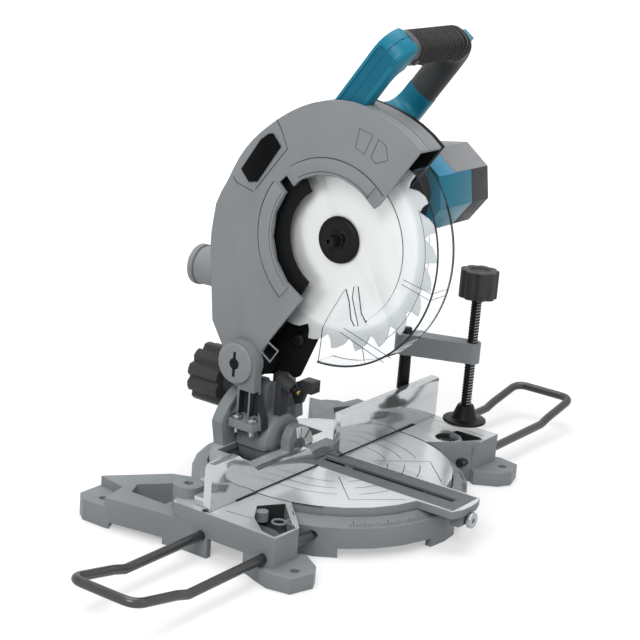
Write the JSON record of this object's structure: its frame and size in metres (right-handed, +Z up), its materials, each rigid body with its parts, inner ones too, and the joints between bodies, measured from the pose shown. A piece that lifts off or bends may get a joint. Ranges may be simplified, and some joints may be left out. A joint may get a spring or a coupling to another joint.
{
  "type": "compound mitre saw",
  "caption": "Bench compound mitre saw with a swinging motor head, clear blade guard, tilting arm, turntable, fence, clamp and extension bars.",
  "frame": {"origin": "on the bench, in the middle of the footprint", "axes": "+X to the operator's right along the extension bars, -Y towards the operator, +Z up"},
  "size_m": [0.73, 0.332, 0.4574],
  "materials": {
    "casting": "grey cast aluminium with a fine grain",
    "guard": "grey painted die casting",
    "machined": "machined and polished",
    "plate_black": "black painted casting",
    "insert": "grey plastic",
    "shell_blue": "blue moulded shell",
    "shell_grey": "dark grey moulding",
    "grip": "ribbed overmould",
    "knob": "fluted moulding",
    "blade": "ground steel",
    "steel": "turned steel",
    "black_steel": "blackened steel",
    "bar": "dark steel rod",
    "windings": "laminations and copper windings",
    "lens": "brass",
    "scale": "white plate with dark green marks",
    "clear": "clear polycarbonate"
  },
  "bodies": {
    "base": {"base_casting": "casting", "fence": "machined", "fence_bolt_left": "steel", "fence_bolt_right": "steel", "bar_lock_screw_left": "black_steel", "bar_lock_screw_right": "black_steel", "clamp_post": "black_steel"},
    "bar_left": {"extension_bar_left": "bar"},
    "bar_right": {"extension_bar_right": "bar"},
    "clamp_swivel": {"clamp_arm": "casting"},
    "clamp_foot": {"clamp_pad": "black_steel"},
    "clamp_spindle": {"clamp_screw": "black_steel", "clamp_knob": "knob"},
    "table": {"turntable": "machined", "kerf_insert": "insert", "insert_screw_1": "steel", "insert_screw_2": "steel", "turntable_bolt": "steel", "turntable_nut": "steel", "mitre_pointer": "knob", "bevel_pin": "steel", "bevel_nut": "steel", "bevel_scale": "scale"},
    "mitre_lock": {"mitre_lock_screw": "steel"},
    "tilt_arm": {"bevel_arm": "casting", "bevel_bolt": "steel", "pivot_pin": "guard", "pivot_nut": "steel", "laser_bracket": "shell_grey", "laser_module": "black_steel", "laser_lens": "lens", "laser_box": "shell_grey", "bevel_stop_screw_1": "steel", "bevel_stop_screw_2": "steel"},
    "bevel_knob": {"bevel_lock_knob": "knob"},
    "head": {"upper_guard": "guard", "inner_shield": "plate_black", "badge_plate": "knob", "guard_stop_bolt": "black_steel", "head_plate": "plate_black", "gear_case": "plate_black", "motor_housing": "shell_blue", "motor_end_cap": "shell_grey", "stator": "windings", "brush_cap_upper": "knob", "brush_cap_lower": "knob", "handle_body": "shell_blue", "handle_grip": "grip", "dust_port": "guard"},
    "guard": {"lower_guard": "clear"},
    "arbor": {"blade": "blade", "outer_flange": "black_steel", "inner_flange": "steel", "spindle": "steel", "arbor_bolt": "black_steel", "driven_gear": "steel"},
    "rotor": {"armature": "windings", "pinion": "steel"},
    "trigger_key": {"trigger": "knob"},
    "lock_off_key": {"lock_off_button": "knob"}
  },
  "joints": [
    {"name": "bar_left_slide", "type": "slide", "parent": "base", "child": "bar_left", "axis": [-1, 0, 0], "range_m": [-0.008, 0.024]},
    {"name": "bar_right_slide", "type": "slide", "parent": "base", "child": "bar_right", "axis": [1, 0, 0], "range_m": [-0.026, 0.006]},
    {"name": "clamp_swing", "type": "hinge", "parent": "base", "child": "clamp_swivel", "pos_m": [0.137, 0.012, 0.125], "axis": [0, 0, 1], "range_deg": [-10, 30]},
    {"name": "clamp_feed", "type": "slide", "parent": "clamp_swivel", "child": "clamp_foot", "axis": [0, 0, 1], "range_m": [-0.009, 0.024]},
    {"name": "clamp_turn", "type": "hinge", "parent": "clamp_foot", "child": "clamp_spindle", "pos_m": [0.161, -0.05, 0.125], "axis": [0, 0, 1], "range_deg": [-540, 1440]},
    {"name": "mitre_turn", "type": "hinge", "parent": "base", "child": "table", "pos_m": [-0.009, -0.006, 0.042], "axis": [0, 0, -1], "range_deg": [-45, 45]},
    {"name": "mitre_lock_turn", "type": "hinge", "parent": "table", "child": "mitre_lock", "pos_m": [-0.009, -0.156, 0.029], "axis": [0, 1, 0], "range_deg": [-180, 0]},
    {"name": "bevel_tilt", "type": "hinge", "parent": "table", "child": "tilt_arm", "pos_m": [-0.009, 0.074, 0.042], "axis": [0, -1, 0], "range_deg": [0, 45]},
    {"name": "bevel_lock_turn", "type": "hinge", "parent": "tilt_arm", "child": "bevel_knob", "pos_m": [-0.009, 0.134, 0.092], "axis": [0, 1, 0], "range_deg": [-90, 90]},
    {"name": "head_swing", "type": "hinge", "parent": "tilt_arm", "child": "head", "pos_m": [-0.009, 0.089, 0.123], "axis": [1, 0, 0], "range_deg": [0, 52], "stiffness_Nm_per_rad": 8, "springref_deg": -63.03},
    {"name": "guard_swing", "type": "hinge", "parent": "head", "child": "guard", "pos_m": [-0.009, 0.004, 0.257], "axis": [1, 0, 0], "range_deg": [-130, 0]},
    {"name": "blade_spin", "type": "hinge", "parent": "head", "child": "arbor", "pos_m": [-0.009, 0.004, 0.257], "axis": [1, 0, 0], "continuous": true},
    {"name": "rotor_spin", "type": "hinge", "parent": "head", "child": "rotor", "pos_m": [-0.009, -0.032, 0.303], "axis": [1, 0, 0], "continuous": true},
    {"name": "trigger_pull", "type": "slide", "parent": "head", "child": "trigger_key", "axis": [0, -0.5793, 0.8151], "range_m": [0, 0.0022], "stiffness_N_per_m": 800, "springref_m": -0.002},
    {"name": "lock_off_press", "type": "slide", "parent": "head", "child": "lock_off_key", "axis": [0, 0.8151, 0.5793], "range_m": [0, 0.002], "stiffness_N_per_m": 600, "springref_m": -0.002}
  ],
  "couplings": [
    {"joint": "guard_swing", "follows": "head_swing", "ratio": -2.4},
    {"joint": "rotor_spin", "follows": "blade_spin", "ratio": -3},
    {"joint": "clamp_turn", "follows": "clamp_feed", "rad_per_m": 1047.2}
  ]
}
